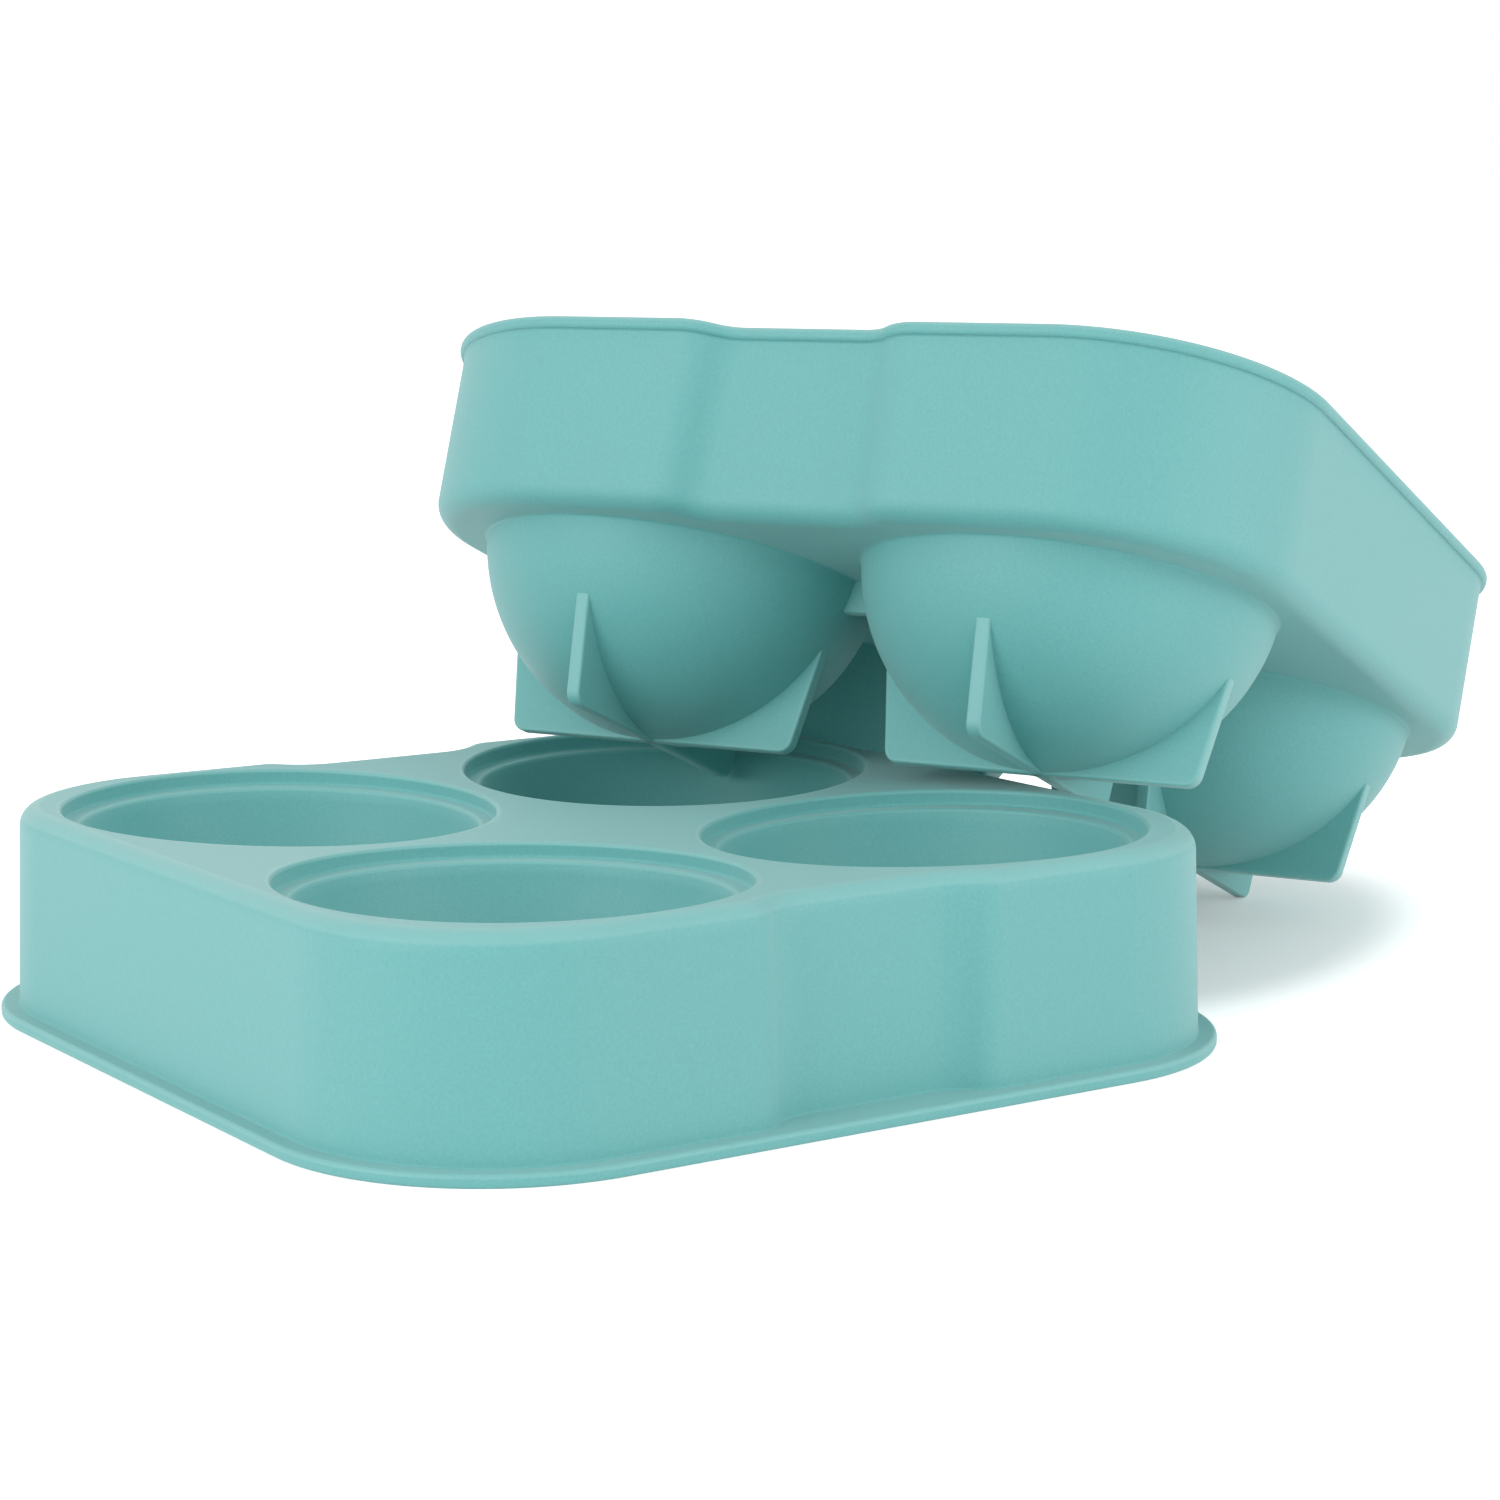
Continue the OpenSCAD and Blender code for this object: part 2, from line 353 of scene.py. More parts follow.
def silicone(name, look, shift):
    """Matte moulded silicone with clouds of colour, a fine grain and paler edges, part wear and
    part painted highlight.
    """
    material, tree = bare_material(name)
    where = tree.node("ShaderNodeTexCoord").outputs["Object"]
    place = tree.node("ShaderNodeMapping", None, {"Vector": where, "Location": shift}).outputs[0]

    def noise(scale, detail, roughness):
        sockets = {"Vector": place, "Scale": scale, "Detail": detail, "Roughness": roughness}
        return tree.value("ShaderNodeTexNoise", None, sockets)

    clouds = noise(look.clouds, 3.0, 0.55)
    grain = noise(look.grain, 2.0, 0.6)
    pores = noise(look.pores, 1.0, 0.5)
    rub = tree.value(
        "ShaderNodeAttribute",
        {"attribute_name": "rub", "attribute_type": "GEOMETRY"},
        None,
        "Fac",
    )
    pale = clouds * 0.35 + grain * 1.3 - 0.325
    skin = tree.mix(pale, with_alpha(look.deep), with_alpha(look.body))
    # Paler colour along the edges: part wear, part painted highlight.
    worn_and_highlit_skin = tree.mix(rub * (0.35 + 0.4 * clouds + 0.3 * grain), skin, with_alpha(look.wear_and_highlight_colour))
    relief = tree.node(
        "ShaderNodeBump",
        None,
        {"Strength": 0.5, "Distance": look.relief, "Height": grain * 0.7 + pores * 0.3},
    ).outputs[0]
    surface = tree.node(
        "ShaderNodeBsdfPrincipled",
        None,
        {
            "Base Color": worn_and_highlit_skin,
            "Roughness": look.roughness - 0.1 + 0.12 * clouds + 0.1 * grain - 0.05 * rub,
            "IOR": 1.45,
            "Specular IOR Level": 0.8,
            "Sheen Weight": 0.28,
            "Sheen Roughness": 0.55,
            "Normal": relief,
        },
    )
    tree.node("ShaderNodeOutputMaterial", None, {"Surface": surface.outputs[0]})
    return material


# Rows of points, in millimetres

# Shares along a plain side, from a corner to a recess, along a recess's floor, across a deck
# and up a foot's side
SIDE_SHARES = (*np.linspace(0, 0.97, 14), 0.99)
LINK_SHARES = (0.02, 0.12, 0.25, 0.4, 0.55, 0.7, 0.85, 0.96)
FLOOR_SHARES = (0.96, 0.75, 0.5, 0.25, 0)
DECK_SHARES = (0.06, 0.3, 0.55, 0.8, 0.95, 1.0)
FOOT_SHARES = (0.03, 0.25, 0.5, 0.75, 0.97)
# Steps round a corner, along a bend and along a line between two quarters
CORNER_STEPS = 24
BEND_STEPS = 9
PARTING_STEPS = 24
# How close a row lies to the end of a rounding, and how far apart rows may lie
CLOSE = 0.1
NEAR = 0.2
FAR = 6.0
# Rounding of edges inside the walls, and where the wall beside it starts
TUCK_R = 0.35
TUCK_END = 0.4
# Rounding at the outer end of a fill hole
CROWN_R = 0.2
# Shares of paler edge colour, part wear and part painted highlight
WEAR_HIGHLIGHT_NONE = 0.0
WEAR_HIGHLIGHT_RING_TOP = 0.2
WEAR_HIGHLIGHT_FAINT = 0.3
WEAR_HIGHLIGHT_HOLE = 0.4
WEAR_HIGHLIGHT_STEP = 0.8
WEAR_HIGHLIGHT_EDGE = 0.9
WEAR_HIGHLIGHT_FULL = 1.0
# Rows closer than this in millimetres are one, and points and edges closer than these in metres
SAME_ROW = 1e-4
SAME_POINT = 2e-7
SAME_EDGE = 1e-7
# Faces of a plate that meet at more than this angle keep a sharp corner
SHARP = math.radians(40)


def arc(centre, radius, start, end, steps):
    """Points along an arc, with its angles in degrees."""
    turns = [math.radians(start + (end - start) * i / steps) for i in range(steps + 1)]
    return [
        (centre[0] + radius * math.cos(a), centre[1] + radius * math.sin(a))
        for a in turns
    ]


def chord(radius, height):
    """How far a ball reaches sideways at a height from its middle."""
    return math.sqrt(radius**2 - height**2)


def edge_middle(reach, radius, draft):
    """Where the middle of a rounding lies that runs into a drafted wall and ends at its reach."""
    return reach - radius * (1 - math.sin(draft)) / math.cos(draft)


def supported(points, near=NEAR):
    """A profile whose long straights are divided, with a point close to each of their ends."""
    out = [points[0]]
    for (x0, z0), (x1, z1) in zip(points, points[1:]):
        run = math.hypot(x1 - x0, z1 - z0)
        shares = []
        if run > 4 * near:
            inner = max(1, math.ceil(run / FAR))
            shares = [near / run]
            shares += [i / inner for i in range(1, inner)]
            shares += [1 - near / run]
        out += [(x0 + (x1 - x0) * t, z0 + (z1 - z0) * t) for t in shares]
        out.append((x1, z1))
    return out


def face_run(face, start, end):
    """Points up or down a sloping face between two heights."""
    return supported([(face(start), start), (face(end), end)])


def bowl(radius, from_depth, to_depth, steps, middle):
    """Points of a round bowl between two depths below its middle."""
    first, last = math.acos(from_depth / radius), math.acos(to_depth / radius)
    turns = [first + (last - first) * i / steps for i in range(steps + 1)]
    return [(radius * math.sin(a), middle - radius * math.cos(a)) for a in turns]


def cup_outside(cup_r, from_depth, deck, root, steps, stop, middle):
    """Points of a cup's outside, from a depth below its middle up to its root at the deck."""
    depth = deck + root
    root_r = chord(cup_r + root, depth)
    lean = math.degrees(math.atan2(depth, -root_r))
    return [
        *bowl(cup_r, from_depth, depth * cup_r / (cup_r + root), steps, middle),
        *arc((root_r, middle - depth), root, lean, stop, 6),
    ]


def with_wear_and_highlight(points, rub):
    """Rows with their share of paler edge colour, part wear and part painted highlight."""
    return [(x, z, rub) for x, z in points]


def joined(*runs):
    """Rows of several runs, without repeats where they meet."""
    out = []
    for run in runs:
        for row in run:
            if not out or math.hypot(row[0] - out[-1][0], row[1] - out[-1][1]) > SAME_ROW:
                out.append(row)
    return out


# Outline and skin


class Outline:
    """One quarter of the halves' outline, as points round one cavity with outward directions.

    The first points follow the wall from the middle of a plain side to the middle of a recess.
    The others follow the two lines that part the quarter from its neighbours.
    """

    def __init__(self, shared):
        self.spacing = (shared.ball_d + shared.ball_gap) / 2
        self.step_r = shared.ball_d / 2 + shared.step_w
        self.half_w = self.spacing + self.step_r + shared.rim_w
        corner_at = self.half_w - shared.corner_r
        wall = self._walk(shared, corner_at)
        plain = [
            ((p[0], self.half_w), (0, 1)) if p[0] < corner_at else (p, n) for p, n in wall
        ]
        self.wall, self.out = self._columns(wall)
        self.ledge, self.ledge_out = self._columns(plain)

    def _walk(self, shared, corner_at):
        """Points along the wall, each with its outward direction."""
        recess_half = shared.recess_l / 2
        floor_y = self.half_w - shared.recess_d
        bends_r = shared.bulge_r + shared.hollow_r
        bend = math.acos(1 - shared.recess_d / bends_r)
        shoulder = recess_half + bends_r * math.sin(bend)
        turn = math.degrees(bend)
        bulge = (shoulder, self.half_w - shared.bulge_r)
        hollow = (recess_half, floor_y + shared.hollow_r)
        link = shoulder - corner_at
        wall = [((self.half_w, corner_at * t), (1, 0)) for t in SIDE_SHARES]
        wall += self._bend((corner_at, corner_at), shared.corner_r, 0, 90, CORNER_STEPS, 1)
        wall += [((corner_at + link * t, self.half_w), (0, 1)) for t in LINK_SHARES]
        wall += self._bend(bulge, shared.bulge_r, 90, 90 + turn, BEND_STEPS, 1)
        wall += self._bend(hollow, shared.hollow_r, turn - 90, -90, BEND_STEPS, -1)[1:]
        wall += [((recess_half * t, floor_y), (0, 1)) for t in FLOOR_SHARES]
        return wall

    @staticmethod
    def _bend(centre, radius, start, end, steps, outward):
        """Points along an arc, with directions away from its middle, or towards it for -1."""
        rows = []
        for x, y in arc((0, 0), 1, start, end, steps):
            point = (centre[0] + radius * x, centre[1] + radius * y)
            rows.append((point, (outward * x, outward * y)))
        return rows

    @staticmethod
    def _columns(wall):
        """The points and the directions, each as one array."""
        return np.array([p for p, _ in wall], float), np.array([n for _, n in wall], float)

    def grown(self, grow):
        """The wall's points, moved outwards."""
        return self.wall + self.out * grow

    def ledge_grown(self, grow):
        """The same points moved outwards, without the recess."""
        return self.ledge + self.ledge_out * grow

    def boundary(self, grow):
        """The whole loop round the cavity at one level: the wall, then the two parting lines."""
        edge = self.grown(grow)
        down = np.linspace(edge[-1][1], 0, PARTING_STEPS + 1)[1:]
        along = np.linspace(0, edge[0][0], PARTING_STEPS + 1)[1:-1]
        return np.vstack([edge, [(0.0, y) for y in down], [(x, 0.0) for x in along]])


def closed_mesh(name, points, rubs, faces):
    """A smooth closed mesh in metres, from points in millimetres and their shares of paler edge
    colour, part wear and part painted highlight.
    """
    mesh = bpy.data.meshes.new(name)
    mesh.from_pydata((np.array(points) * MM).tolist(), [], faces)
    # This attribute carries the paler edge colour: part wear, part painted highlight.
    mesh.attributes.new("rub", "FLOAT", "POINT").data.foreach_set("value", rubs)
    bm = bmesh.new()
    bm.from_mesh(mesh)
    bmesh.ops.remove_doubles(bm, verts=bm.verts, dist=SAME_POINT)
    bmesh.ops.dissolve_degenerate(bm, edges=bm.edges, dist=SAME_EDGE)
    bmesh.ops.recalc_face_normals(bm, faces=bm.faces)
    open_edges = [edge for edge in bm.edges if not edge.is_manifold]
    if open_edges:
        raise RuntimeError(f"{name} has {len(open_edges)} open edges")
    bm.to_mesh(mesh)
    bm.free()
    mesh.shade_smooth()
    return mesh


class Skin:
    """Points and faces of one quarter, which four copies close to a whole half."""

    def __init__(self):
        self.points, self.rubs, self.faces = [], [], []

    def row(self, xy, z, rub):
        """Adds a row of points at one height and returns their numbers."""
        first = len(self.points)
        self.points += [(p[0], p[1], z) for p in xy]
        self.rubs += [rub] * len(xy)
        return list(range(first, first + len(xy)))

    def join(self, lower, upper, closed):
        """Faces between two rows."""
        count = len(lower)
        for i in range(count if closed else count - 1):
            j = (i + 1) % count
            self.faces.append((lower[i], lower[j], upper[j], upper[i]))

    def mesh(self, name, bend=None):
        """The whole half as a closed mesh in metres."""
        points = np.array(self.points)
        whole, rubs, faces = [], [], []
        for sx, sy in ((1, 1), (-1, 1), (-1, -1), (1, -1)):
            base = len(whole) * len(points)
            whole.append(points * (sx, sy, 1))
            rubs += self.rubs
            turn = 1 if sx * sy > 0 else -1
            faces += [tuple(base + i for i in f[::turn]) for f in self.faces]
        whole = np.vstack(whole)
        if bend is not None:
            whole = bend(whole)
        return closed_mesh(name, whole, rubs, faces)


def half_skin(outline, cavity, deck_top, wall, deck_low, cup):
    """Skins one quarter: cavity, deck, round the wall, the deck's other face and the cup.

    cavity and cup are rows of (radius, height, paleness). wall is rows of (follows the ledge,
    offset, height, paleness). Paleness is edge colour, part wear and part painted highlight.
    deck_top and deck_low are (height, offset of the deck's edge).
    """
    skin = Skin()
    centre = np.array((outline.spacing, outline.spacing))

    def face_rows(round_rows, deck):
        """Rows of a round form about the cavity's axis and of the deck beside it."""
        height, offset = deck
        reach = outline.boundary(offset) - centre
        far = np.linalg.norm(reach, axis=1)
        way = reach / far[:, None]
        rim_r = round_rows[-1][0]
        rows = [skin.row(centre + way * r, z, rub) for r, z, rub in round_rows]
        for t in DECK_SHARES:
            xy = centre + way * (rim_r + (far - rim_r) * t)[:, None]
            rows.append(skin.row(xy, height, WEAR_HIGHLIGHT_NONE))
        return rows

    rows = face_rows(cavity, deck_top)
    low_rows = face_rows(cup, deck_low)
    for stack in (rows, low_rows):
        for lower, upper in zip(stack, stack[1:]):
            skin.join(lower, upper, True)
    count = len(outline.wall)
    band = [rows[-1][:count]]
    for on_ledge, offset, height, rub in wall:
        xy = outline.ledge_grown(offset) if on_ledge else outline.grown(offset)
        band.append(skin.row(xy, height, rub))
    band.append(low_rows[-1][:count])
    for lower, upper in zip(band, band[1:]):
        skin.join(lower, upper, False)
    has_hole = min(cavity[0][0], cup[0][0]) > SAME_ROW
    if has_hole:
        skin.join(rows[0], low_rows[0], True)
    return skin


# Lid half


def lid_cavity(shared, lid, step_r):
    """A lid cavity, from its fill hole up to the rim of its mouth."""
    soft, top = shared.soft_edge, lid.height
    ball_r, fill_r = shared.ball_d / 2, lid.fill_d / 2
    # Rounding where the hole opens into the ball, how far it starts below and ends beside it
    hole_r, hole_drop, hole_reach = 0.3, 0.25, 0.5
    hole_z = top - chord(ball_r, fill_r) - hole_drop
    bowl_from = chord(ball_r, fill_r + hole_reach)
    step_z = top - shared.step_d
    ledge_r = chord(ball_r, shared.step_d)
    # Paler colour round the fill hole, the step and the mouth: part wear, part painted highlight.
    return joined(
        with_wear_and_highlight([(fill_r, lid.crown_lift + CROWN_R), (fill_r, hole_z)], WEAR_HIGHLIGHT_NONE),
        with_wear_and_highlight(arc((fill_r + hole_r, hole_z), hole_r, 180, 110, 3), WEAR_HIGHLIGHT_HOLE),
        with_wear_and_highlight(bowl(ball_r, bowl_from, shared.step_d + soft, 24, top), WEAR_HIGHLIGHT_NONE),
        with_wear_and_highlight(arc((ledge_r + soft, step_z - soft), soft, 172, 90, 4), WEAR_HIGHLIGHT_STEP),
        with_wear_and_highlight(supported([(ledge_r + soft, step_z), (step_r - TUCK_R, step_z)], CLOSE), WEAR_HIGHLIGHT_NONE),
        with_wear_and_highlight(arc((step_r - TUCK_R, step_z + TUCK_R), TUCK_R, -90, 0, 4), WEAR_HIGHLIGHT_NONE),
        with_wear_and_highlight(supported([(step_r, step_z + TUCK_R), (step_r, top - soft)], CLOSE), WEAR_HIGHLIGHT_NONE),
        with_wear_and_highlight(arc((step_r + soft, top - soft), soft, 180, 90, 5), WEAR_HIGHLIGHT_FULL),
    )


def lid_side(lid, draft, edge_x):
    """The lid's wall from its parting edge down, round its flange and up its inside."""
    top, flange, under = lid.height, lid.flange_t, lid.height - lid.deck
    bead, root, deck_root = lid.bead_r, lid.root_r, lid.deck_root_r
    slope = math.tan(draft)
    wear_highlight_share = 0.6

    def outer(z):
        return (top - z) * slope

    def inner(z):
        return outer(z) - lid.wall

    bead_x = outer(0) + lid.lip - bead
    ledge_from = outer(0) + root + 0.25
    sole_to = bead_x - 0.3
    wall = joined(
        arc((edge_x, top - lid.edge_r), lid.edge_r, 86, math.degrees(draft), 9),
        face_run(outer, top - lid.edge_r - CLOSE, flange + root),
        arc((outer(flange) + root, flange + root), root, 192, 268, 5),
    )
    rim = joined(
        [(ledge_from, flange), (bead_x - CLOSE, flange)],
        arc((bead_x, flange - bead), bead, 90, 0, 6),
        arc((bead_x, bead), bead, 0, -90, 6),
        [(sole_to, 0.0)],
    )
    inside = joined(
        arc((inner(0) + TUCK_R, TUCK_R), TUCK_R, -90, -180, 3),
        face_run(inner, TUCK_END, under - deck_root),
        arc((inner(under) - deck_root, under - deck_root), deck_root, 0, 85, 5),
    )
    # The parting edge and the flange's outer top edge get paler colour: part wear, part painted
    # highlight.
    wear_highlight_z = top - lid.edge_r * wear_highlight_share
    rows = [(False, x, z, WEAR_HIGHLIGHT_EDGE if z > wear_highlight_z else WEAR_HIGHLIGHT_NONE) for x, z in wall]
    for x, z in rim:
        on_edge = x > bead_x and z > flange - bead
        rows.append((True, x, z, WEAR_HIGHLIGHT_EDGE if on_edge else WEAR_HIGHLIGHT_NONE))
    rows += [(False, x, z, WEAR_HIGHLIGHT_NONE) for x, z in inside]
    return rows


def lid_cup(shared, lid):
    """The outside of a lid cup, from its fill hole over the crown up to the deck."""
    top, lift, fill_r = lid.height, lid.crown_lift, lid.fill_d / 2
    cup_r = shared.ball_d / 2 + shared.cup_wall
    crown_r = chord(cup_r, top - lift)
    crown_from, crown_to, bowl_lift = fill_r + 0.3, crown_r - 0.4, 0.15
    bowl_from = top - lift - bowl_lift
    outside = cup_outside(cup_r, bowl_from, lid.deck, lid.deck_root_r, 20, 90, top)
    # A faint paler colour round the crown's hole: part wear, part painted highlight.
    return joined(
        with_wear_and_highlight(arc((fill_r + CROWN_R, lift + CROWN_R), CROWN_R, 180, 270, 3), WEAR_HIGHLIGHT_FAINT),
        with_wear_and_highlight(supported([(crown_from, lift), (crown_to, lift)]), WEAR_HIGHLIGHT_NONE),
        with_wear_and_highlight(outside, WEAR_HIGHLIGHT_NONE),
    )


def lid_skin(sizes, lid_sizes):
    """The lid half: mouths up, steps, soft sagging deck, wall, flange and crowns."""
    shared, lid = in_millimetres(sizes), in_millimetres(lid_sizes)
    outline = Outline(shared)
    draft = sizes.draft
    edge_x = edge_middle(0, lid.edge_r, draft)
    low_edge = lid.deck * math.tan(draft) - lid.wall - lid.deck_root_r
    skin = half_skin(
        outline,
        lid_cavity(shared, lid, outline.step_r),
        (lid.height, edge_x),
        lid_side(lid, draft, edge_x),
        (lid.height - lid.deck, low_edge),
        lid_cup(shared, lid),
    )

    def sagging(points):
        """Lowers the deck towards its middle, and what lies under it by less."""
        inside = np.clip(1 - (points[:, :2] / outline.half_w) ** 2, 0, 1)
        share_up = np.clip(points[:, 2] / lid.height, 0, 1)
        down = lid.sag * inside[:, 0] * inside[:, 1] * share_up**2
        return points - np.outer(down, (0, 0, 1))

    return skin.mesh("lid_skin", sagging)


# Base tray


def tray_cavity(shared, tray, step_r):
    """A tray cavity, from its bottom up over its seal ring and down to the deck."""
    soft, ring_h, root = shared.soft_edge, shared.step_d, tray.ring_root_r
    ball_r, ring_r = shared.ball_d / 2, step_r - shared.seal_play
    lip_r = chord(ball_r, ring_h)
    ring_top = [(lip_r + soft + CLOSE, ring_h), (ring_r - soft - CLOSE, ring_h)]
    ring_side = [(ring_r, ring_h - soft - CLOSE), (ring_r, root + CLOSE)]
    # Paler colour along the seal ring's edges and top: part wear, part painted highlight.
    return joined(
        with_wear_and_highlight(bowl(ball_r, ball_r, soft - ring_h, 30, 0.0), WEAR_HIGHLIGHT_NONE),
        with_wear_and_highlight(arc((lip_r + soft, ring_h - soft), soft, 175, 90, 4), WEAR_HIGHLIGHT_STEP),
        with_wear_and_highlight(ring_top, WEAR_HIGHLIGHT_RING_TOP),
        with_wear_and_highlight(arc((ring_r - soft, ring_h - soft), soft, 90, 0, 4), WEAR_HIGHLIGHT_STEP),
        with_wear_and_highlight(ring_side, WEAR_HIGHLIGHT_NONE),
        with_wear_and_highlight(arc((ring_r + root, root), root, 180, 270, 4), WEAR_HIGHLIGHT_NONE),
    )


def tray_skin(sizes, tray_sizes):
    """The base tray as it stands level: cavities, seal rings, well, flange, wall and cups."""
    shared, tray = in_millimetres(sizes), in_millimetres(tray_sizes)
    outline = Outline(shared)
    high, deck, edge_r = tray.height, tray.deck, tray.edge_r
    root, lip_root = tray.deck_root_r, tray.lip_root_r
    slope, outer_draft = math.tan(sizes.draft), tray_sizes.outer_draft
    in_top = tray.nest_play + high * slope
    out_top = in_top + tray.wall

    def inner(z):
        return tray.nest_play + z * slope

    def outer(z):
        return out_top - (high - z) * math.tan(outer_draft)

    edge_x = edge_middle(outer(-deck), edge_r, outer_draft)
    edge_z = edge_r - deck
    under_lip = high - tray.flange_t
    rim_r = min(tray.lip, tray.flange_t / 2)
    rim_x = out_top + tray.lip - rim_r
    wall = joined(
        arc((inner(0) - root, root), root, -85, 0, 5),
        face_run(inner, root + CLOSE, high - TUCK_END),
        arc((in_top + TUCK_R, high - TUCK_R), TUCK_R, 180, 90, 3),
        [(rim_x - NEAR, high)],
        arc((rim_x, high - rim_r), rim_r, 90, 0, 5),
        arc((rim_x, under_lip + rim_r), rim_r, 0, -90, 5),
        arc((outer(under_lip) + lip_root, under_lip - lip_root), lip_root, 90, 180, 4),
        face_run(outer, under_lip - lip_root - CLOSE, edge_z + CLOSE),
        arc((edge_x, edge_z), edge_r, -math.degrees(outer_draft), -87, 12),
    )
    # Paler colour along the rim: part wear, part painted highlight.
    wear_highlight_z, wear_highlight_x = high - 0.5, in_top + CLOSE
    rows = []
    for x, z in wall:
        on_rim = z > wear_highlight_z and x > wear_highlight_x
        rows.append((False, x, z, WEAR_HIGHLIGHT_EDGE if on_rim else WEAR_HIGHLIGHT_NONE))
    cup_r = shared.ball_d / 2 + shared.cup_wall
    cup = joined(with_wear_and_highlight(cup_outside(cup_r, cup_r, deck, tray.cup_blend, 28, 92, 0.0), WEAR_HIGHLIGHT_NONE))
    cavity = tray_cavity(shared, tray, outline.step_r)
    skin = half_skin(outline, cavity, (0.0, inner(0) - root), rows, (-deck, edge_x), cup)
    return skin.mesh("tray_skin")


def plate_mesh(name, points, rubs, faces):
    """A closed mesh whose corners stay sharp where its faces meet steeply."""
    mesh = closed_mesh(name, points, rubs, faces)
    mesh.set_sharp_from_angle(angle=SHARP)
    return mesh


def foot_path(shared, feet):
    """The lower outline of a plate with a foot at each end, seen from its side."""
    cup_r = shared.ball_d / 2 + shared.cup_wall
    low = -(cup_r + feet.drop)
    wide = feet.reach + feet.flare
    top = -chord(cup_r, wide)
    lean = math.atan(feet.flare / (top - low))
    tip = edge_middle(feet.reach, feet.corner_r, lean)
    side = [(x, low) for x in np.linspace(0, tip * 0.98, 12)]
    side += arc((tip, low + feet.corner_r), feet.corner_r, -90, -math.degrees(lean), 8)
    out_x, out_z = side[-1]
    side += [(out_x + (wide - out_x) * t, out_z + (top - out_z) * t) for t in FOOT_SHARES]
    return np.array([(-x, z) for x, z in side[:0:-1]] + side)


def plate_edge(half, edge):
    """Rows of (inset, side, paleness) round the edge of a plate, from one face to the other.
    Paleness is edge colour, part wear and part painted highlight.
    """
    turns = [math.radians(90 * i / 4) for i in range(5)]
    section = [(edge + NEAR, half, WEAR_HIGHLIGHT_FAINT)]
    section += [
        (edge * (1 - math.sin(a)), half - edge * (1 - math.cos(a)), WEAR_HIGHLIGHT_FULL) for a in turns
    ]
    return section + [(inset, -y, rub) for inset, y, rub in section[::-1]]


def foot_cross(sizes, foot_sizes):
    """The two plates that cross under one cup. Each plate's ends are feet."""
    shared, feet = in_millimetres(sizes), in_millimetres(foot_sizes)
    path = foot_path(shared, feet)
    run = np.gradient(path, axis=0)
    out = np.column_stack([run[:, 1], -run[:, 0]])
    out /= np.linalg.norm(out, axis=1)[:, None]
    buried_r = (shared.ball_d + shared.cup_wall) / 2
    inside = path * (buried_r / np.linalg.norm(path, axis=1))[:, None]
    half = feet.thickness / 2
    rows = [(inside, half, WEAR_HIGHLIGHT_NONE)]
    rows += [(path - out * inset, y, rub) for inset, y, rub in plate_edge(half, feet.edge_r)]
    rows += [(inside, -half, WEAR_HIGHLIGHT_NONE)]
    count = len(path)
    points, rubs, faces = [], [], []
    for crossing in (False, True):
        rings = []
        for line, y, rub in rows:
            rings.append(range(len(points), len(points) + count))
            points += [(-y, x, z) if crossing else (x, y, z) for x, z in line]
            rubs += [rub] * count
        for a, b in zip(rings, rings[1:] + rings[:1]):
            faces += [(a[i], a[i + 1], b[i + 1], b[i]) for i in range(count - 1)]
        faces += [tuple(ring[end] for ring in rings) for end in (0, -1)]
    return plate_mesh("foot_cross", points, rubs, faces)


def web_plate(sizes, tray_sizes, foot_sizes):
    """One web that joins two neighbouring cups just under the deck."""
    shared, feet = in_millimetres(sizes), in_millimetres(foot_sizes)
    deck = in_millimetres(tray_sizes).deck
    half, edge = feet.thickness / 2, feet.edge_r
    reach = shared.ball_gap / 2 - feet.web_cover
    low, high = -(deck + feet.web_h), -deck / 2
    section = [(half, high)]
    section += arc((half - edge, low + edge), edge, 0, -90, 4)
    section += [(-x, z) for x, z in section[::-1]]
    count = len(section)
    points, rubs, faces, rings = [], [], [], []
    for y in (-reach, 0.0, reach):
        rings.append(range(len(points), len(points) + count))
        points += [(x, y, z) for x, z in section]
        # Paler colour along the web's lower edge: part wear, part painted highlight.
        rubs += [WEAR_HIGHLIGHT_NONE] + [WEAR_HIGHLIGHT_STEP] * (count - 2) + [WEAR_HIGHLIGHT_NONE]
    for a, b in zip(rings, rings[1:]):
        for i in range(count):
            j = (i + 1) % count
            faces.append((a[i], a[j], b[j], b[i]))
    faces += [tuple(rings[0]), tuple(rings[-1])]
    return plate_mesh("web_plate", points, rubs, faces)


# Geometry nodes


